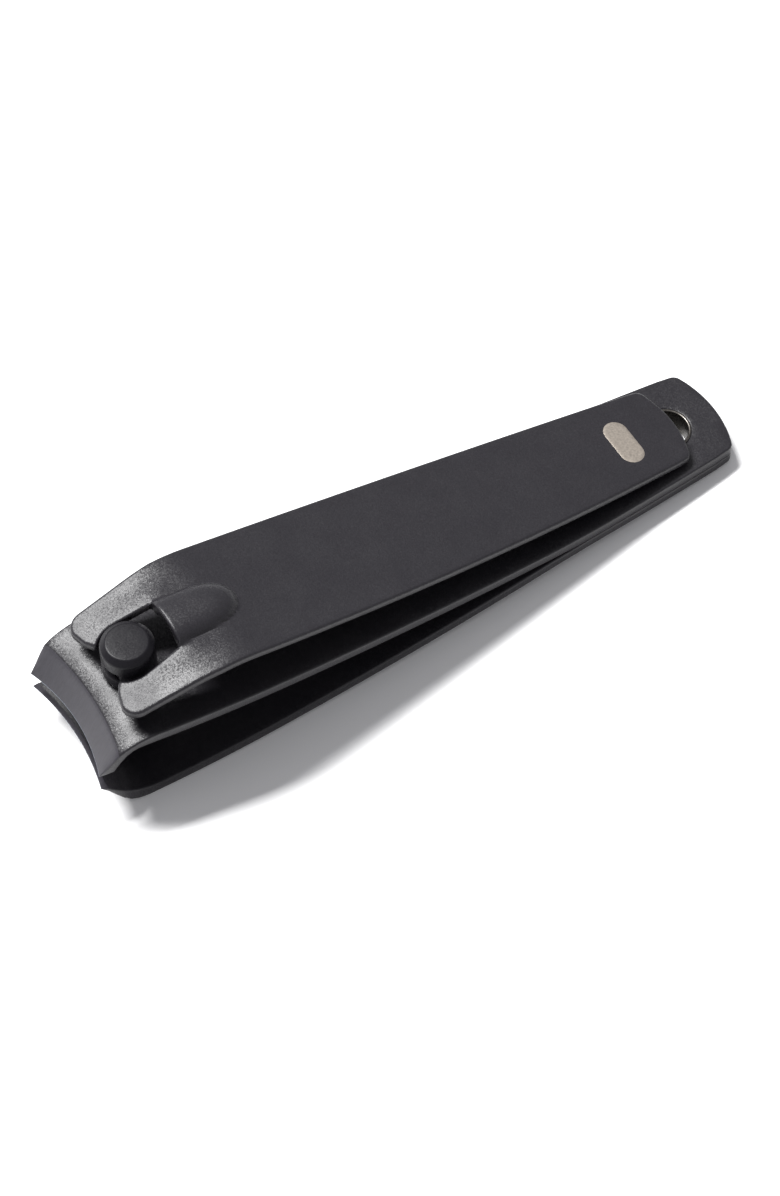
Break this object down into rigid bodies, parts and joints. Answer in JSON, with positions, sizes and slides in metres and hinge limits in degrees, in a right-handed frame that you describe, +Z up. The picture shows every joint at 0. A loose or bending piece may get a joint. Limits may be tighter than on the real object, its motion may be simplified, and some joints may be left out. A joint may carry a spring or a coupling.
{
  "type": "nail clipper",
  "caption": "Large lever nail clipper with joined spring arms, curved jaws, a turning pin, a folding lever with a raised hood, and a ring hole at the rear end.",
  "frame": {"origin": "on the floor under the middle of the body, half way between the jaw edge and the ring end", "axes": "+X from the jaws to the ring end, +Y to the left side, +Z up; the clipper lies on its lower arm with the lever folded flat"},
  "size_m": [0.0794, 0.0168, 0.017],
  "materials": {
    "arm_coating": "fine textured matte black coating on spring steel",
    "rivet_steel": "bare rolled steel tube",
    "pin_coating": "matte black coating on turned steel",
    "lever_coating": "fine textured matte black coating on pressed steel"
  },
  "bodies": {
    "frame": {"lower_arm": "arm_coating", "ring_rivet": "rivet_steel", "upper_tail": "arm_coating"},
    "blade": {"upper_blade": "arm_coating"},
    "pin": {"pin": "pin_coating"},
    "lever": {"lever": "lever_coating"}
  },
  "joints": [
    {"name": "jaw_close", "type": "hinge", "parent": "frame", "child": "blade", "pos_m": [0.01735, 0, 0.00257], "axis": [0, -1, 0], "range_deg": [0, 2.3], "stiffness_Nm_per_rad": 15},
    {"name": "pin_turn", "type": "hinge", "parent": "frame", "child": "pin", "pos_m": [-0.03205, 0, 0.01], "axis": [0, 0, 1], "range_deg": [0, 180]},
    {"name": "lever_flip", "type": "hinge", "parent": "pin", "child": "lever", "pos_m": [-0.03455, 0, 0.01353], "axis": [0, -1, 0], "range_deg": [0, 175]}
  ]
}
